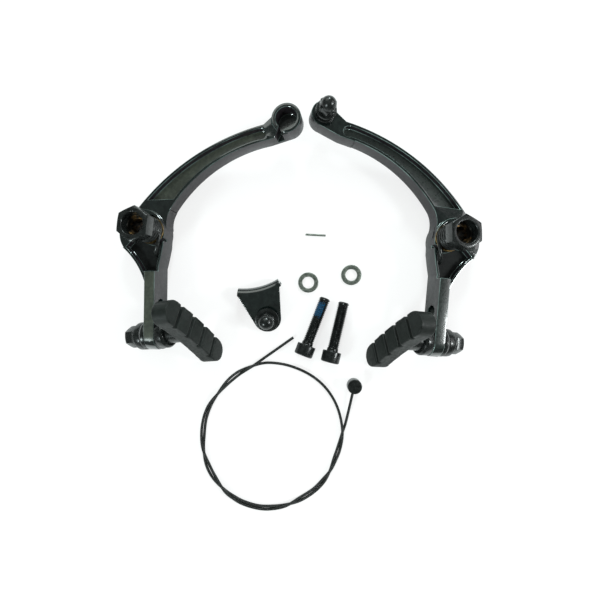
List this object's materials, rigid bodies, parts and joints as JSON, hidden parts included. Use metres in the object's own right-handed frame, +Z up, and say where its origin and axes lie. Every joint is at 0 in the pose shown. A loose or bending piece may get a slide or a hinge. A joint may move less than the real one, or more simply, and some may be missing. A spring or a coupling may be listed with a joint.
{
  "type": "u-brake",
  "caption": "Centre-pull bicycle rim brake laid out as a kit: curved arms with slotted pad bars and pivot stacks, cable hanger, straddle cable and mounting hardware.",
  "frame": {"origin": "on the surface that the kit lies on, under the middle of its rigid pieces", "axes": "+X from the left arm to the right arm, +Y towards the cable ends of the arms, +Z up from the surface"},
  "size_m": [0.1877, 0.2145, 0.0441],
  "materials": {
    "arm_paint": "gloss black paint on forged aluminium",
    "black_steel": "black oxide, semi-gloss, with machined edges",
    "spring_black": "black spring steel",
    "brass": "turned, slightly dull",
    "pad_rubber": "moulded, matte with a faint sheen",
    "zinc": "dull zinc plate",
    "cable_black": "black coated stranded wire"
  },
  "bodies": {
    "root": {"left_bushing": "brass", "right_bushing": "brass", "left_return_spring": "spring_black", "right_return_spring": "spring_black", "hanger_plate": "arm_paint", "mount_bolt_1": "black_steel", "mount_bolt_2": "black_steel", "boss_washer_1": "zinc", "boss_washer_2": "zinc", "spring_pin": "zinc", "straddle_cable": "cable_black", "straddle_barrel": "black_steel"},
    "hanger_clamp": {"hanger_bolt": "black_steel", "hanger_washer": "black_steel", "hanger_nut": "black_steel"},
    "right_anchor": {"right_anchor_bolt": "black_steel", "right_anchor_washer": "black_steel", "right_clamp_washer": "black_steel", "right_anchor_nut": "black_steel"},
    "left_arm": {"left_arm": "arm_paint"},
    "left_nut": {"left_tension_nut": "black_steel"},
    "left_pad_slider": {"left_outer_dome_washer": "black_steel", "left_inner_dome_washer": "black_steel"},
    "left_pad_socket": {"left_outer_cup_washer": "black_steel", "left_inner_cup_washer": "black_steel"},
    "left_pad": {"left_pad_stud": "black_steel", "left_pad_block": "pad_rubber", "left_pad_nut": "black_steel", "left_pad_washer": "black_steel"},
    "right_arm": {"right_arm": "arm_paint"},
    "right_nut": {"right_tension_nut": "black_steel"},
    "right_pad_slider": {"right_outer_dome_washer": "black_steel", "right_inner_dome_washer": "black_steel"},
    "right_pad_socket": {"right_outer_cup_washer": "black_steel", "right_inner_cup_washer": "black_steel"},
    "right_pad": {"right_pad_stud": "black_steel", "right_pad_block": "pad_rubber", "right_pad_nut": "black_steel", "right_pad_washer": "black_steel"}
  },
  "joints": [
    {"name": "left_arm_swing", "type": "hinge", "parent": "root", "child": "left_arm", "pos_m": [-0.07534, 0.00343, 0.00849], "axis": [-0.1478, 0.0262, 0.9887], "range_deg": [0, 9], "deforming": ["left_return_spring"]},
    {"name": "left_nut_turn", "type": "hinge", "parent": "root", "child": "left_nut", "pos_m": [-0.07755, 0.00382, 0.02332], "axis": [-0.1478, 0.0262, 0.9887], "continuous": true},
    {"name": "left_pad_slide", "type": "slide", "parent": "left_arm", "child": "left_pad_slider", "axis": [0.0039, 0.9997, -0.0259], "range_m": [0, 0.0145]},
    {"name": "left_pad_toe", "type": "hinge", "parent": "left_pad_slider", "child": "left_pad_socket", "pos_m": [-0.07473, -0.04999, 0.01253], "axis": [-0.0039, -0.9997, 0.0259], "range_deg": [-28, 0]},
    {"name": "left_pad_turn", "type": "hinge", "parent": "left_pad_socket", "child": "left_pad", "pos_m": [-0.07473, -0.04999, 0.01253], "axis": [0.919, 0.1077, 0.3792], "range_deg": [-25, 25]},
    {"name": "right_arm_swing", "type": "hinge", "parent": "root", "child": "right_arm", "pos_m": [0.07484, -0.00057, 0.00849], "axis": [-0.1478, -0.0262, -0.9887], "range_deg": [0, 9], "deforming": ["right_return_spring"]},
    {"name": "right_nut_turn", "type": "hinge", "parent": "root", "child": "right_nut", "pos_m": [0.07705, -0.00018, 0.02332], "axis": [0.1478, 0.0262, 0.9887], "continuous": true},
    {"name": "right_pad_slide", "type": "slide", "parent": "right_arm", "child": "right_pad_slider", "axis": [0.0995, 0.9942, -0.0412], "range_m": [0, 0.0145]},
    {"name": "right_pad_toe", "type": "hinge", "parent": "right_pad_slider", "child": "right_pad_socket", "pos_m": [0.0687, -0.05357, 0.01334], "axis": [0.0995, 0.9942, -0.0412], "range_deg": [-28, 0]},
    {"name": "right_pad_turn", "type": "hinge", "parent": "right_pad_socket", "child": "right_pad", "pos_m": [0.0687, -0.05357, 0.01334], "axis": [-0.9206, 0.0909, 0.3799], "range_deg": [-25, 25]},
    {"name": "right_anchor_turn", "type": "hinge", "parent": "right_arm", "child": "right_anchor", "pos_m": [0.01171, 0.06119, 0.01629], "axis": [0.1478, 0.0262, 0.9887], "continuous": true},
    {"name": "hanger_clamp_turn", "type": "hinge", "parent": "root", "child": "hanger_clamp", "pos_m": [-0.0175, -0.0417, 0.00387], "axis": [0, -0.1994, 0.9799], "continuous": true}
  ]
}
